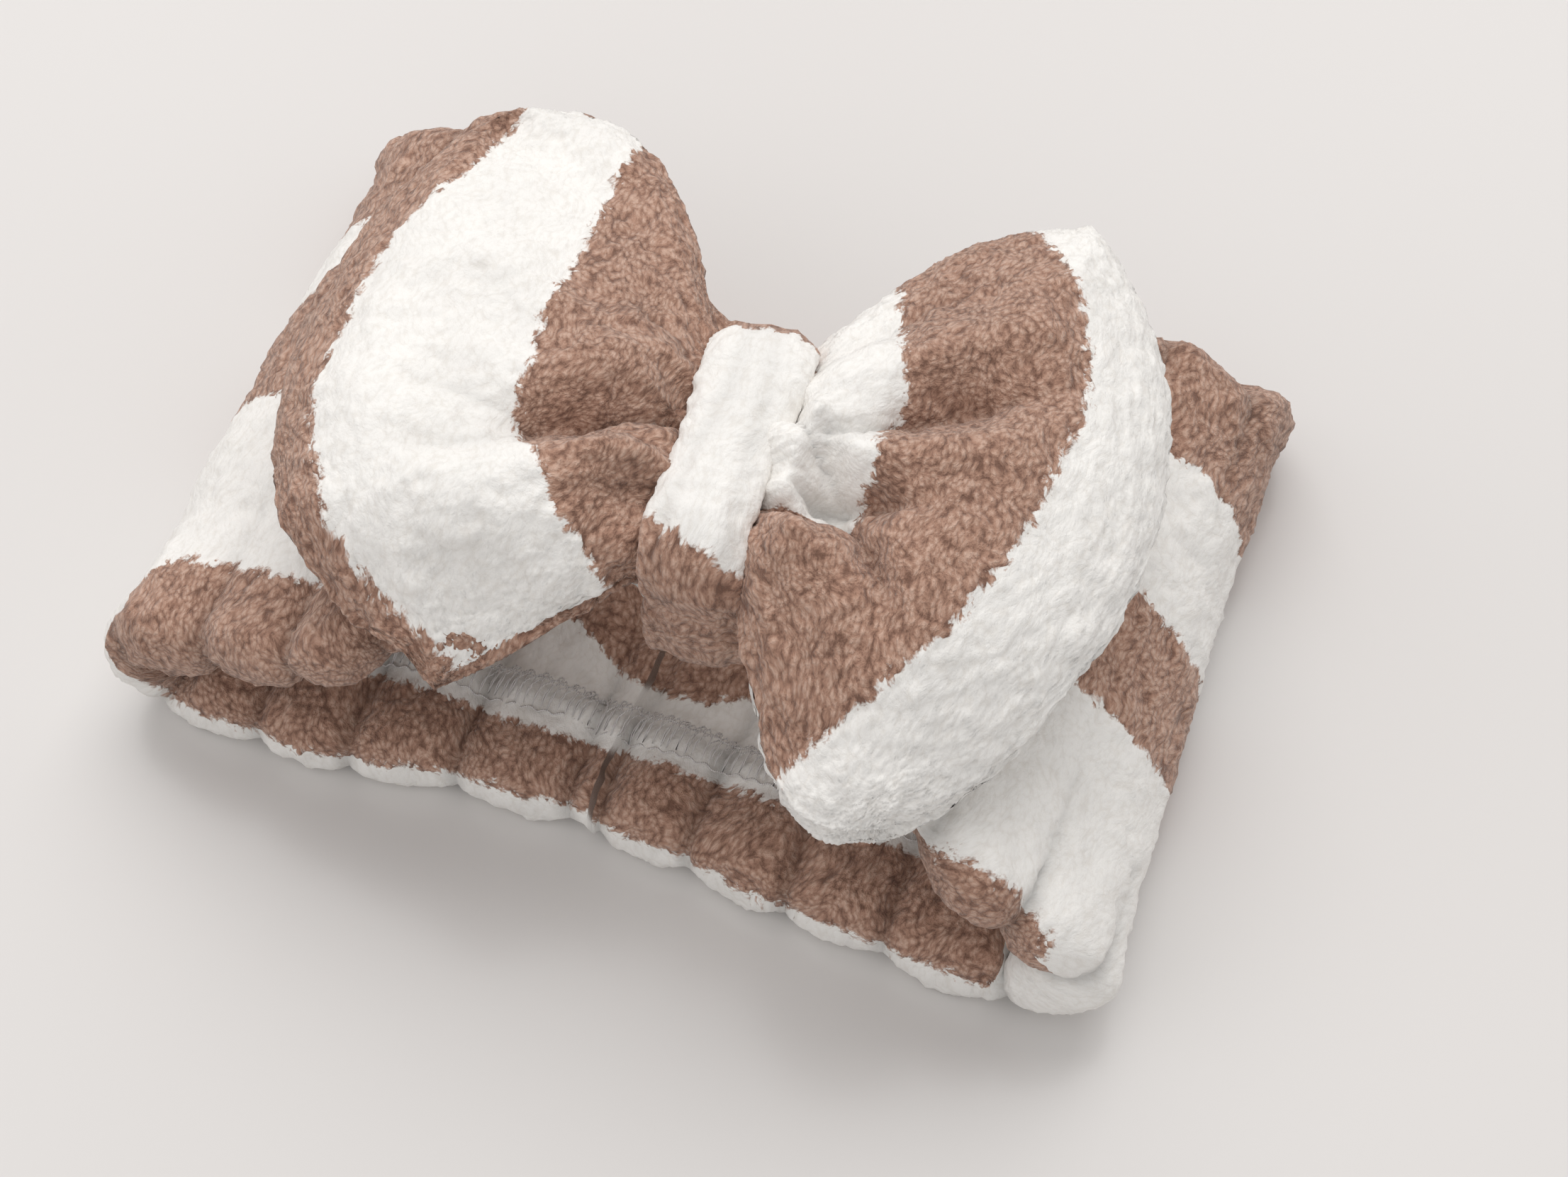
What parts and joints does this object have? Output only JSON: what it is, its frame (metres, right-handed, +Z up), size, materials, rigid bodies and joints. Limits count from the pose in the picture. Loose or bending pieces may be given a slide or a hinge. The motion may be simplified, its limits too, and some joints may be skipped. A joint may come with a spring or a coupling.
{
  "type": "spa headband",
  "caption": "Elastic plush headband ring with a padded two-lobe bow gathered by a centre wrap, lying on its back section.",
  "frame": {"origin": "on the resting face under the middle of the ring", "axes": "+X along the flattened ring's width, +Y along the band's width away from the open near side, +Z up from the resting face"},
  "size_m": [0.187, 0.1389, 0.0851],
  "materials": {
    "band_fleece": "matte",
    "bow_fleece": "matte",
    "wrap_fleece": "matte",
    "elastic": "matte",
    "overlock_thread": "satin",
    "sewing_thread": "satin",
    "wadding": "matte"
  },
  "bodies": {
    "band_back": {"cover_back": "band_fleece", "elastic_back": "elastic", "overlock_back": "overlock_thread", "cover_side_left": "band_fleece", "elastic_side_left": "elastic", "overlock_side_left": "overlock_thread", "cover_side_right": "band_fleece", "elastic_side_right": "elastic", "overlock_side_right": "overlock_thread"},
    "band_front": {"cover_front": "band_fleece", "elastic_front": "elastic", "overlock_front": "overlock_thread", "end_join_stitches": "sewing_thread", "bow_gather": "bow_fleece", "cinch_thread": "sewing_thread", "knot_wrap": "wrap_fleece", "knot_closing_stitches": "sewing_thread"},
    "bow_left": {"front_panel_left": "bow_fleece", "back_panel_left": "bow_fleece", "wadding_left": "wadding", "rim_seam_left": "sewing_thread"},
    "bow_right": {"front_panel_right": "bow_fleece", "back_panel_right": "bow_fleece", "wadding_right": "wadding", "rim_seam_right": "sewing_thread"}
  },
  "joints": [
    {"name": "band_stretch", "type": "slide", "parent": "band_back", "child": "band_front", "axis": [0, 0, 1], "range_m": [-0.008, 0.08], "stiffness_N_per_m": 100, "springref_m": 0.0043, "deforming": ["cover_side_left", "elastic_side_left", "overlock_side_left", "cover_side_right", "elastic_side_right", "overlock_side_right"]},
    {"name": "left_lobe_lift", "type": "hinge", "parent": "band_front", "child": "bow_left", "pos_m": [0.00111, -0.02453, 0.08], "axis": [-0.1392, 0.9903, 0], "range_deg": [0, 35], "stiffness_Nm_per_rad": 0.02},
    {"name": "right_lobe_lift", "type": "hinge", "parent": "band_front", "child": "bow_right", "pos_m": [0.02289, -0.02147, 0.08], "axis": [0.1392, -0.9903, 0], "range_deg": [0, 35], "stiffness_Nm_per_rad": 0.02}
  ]
}
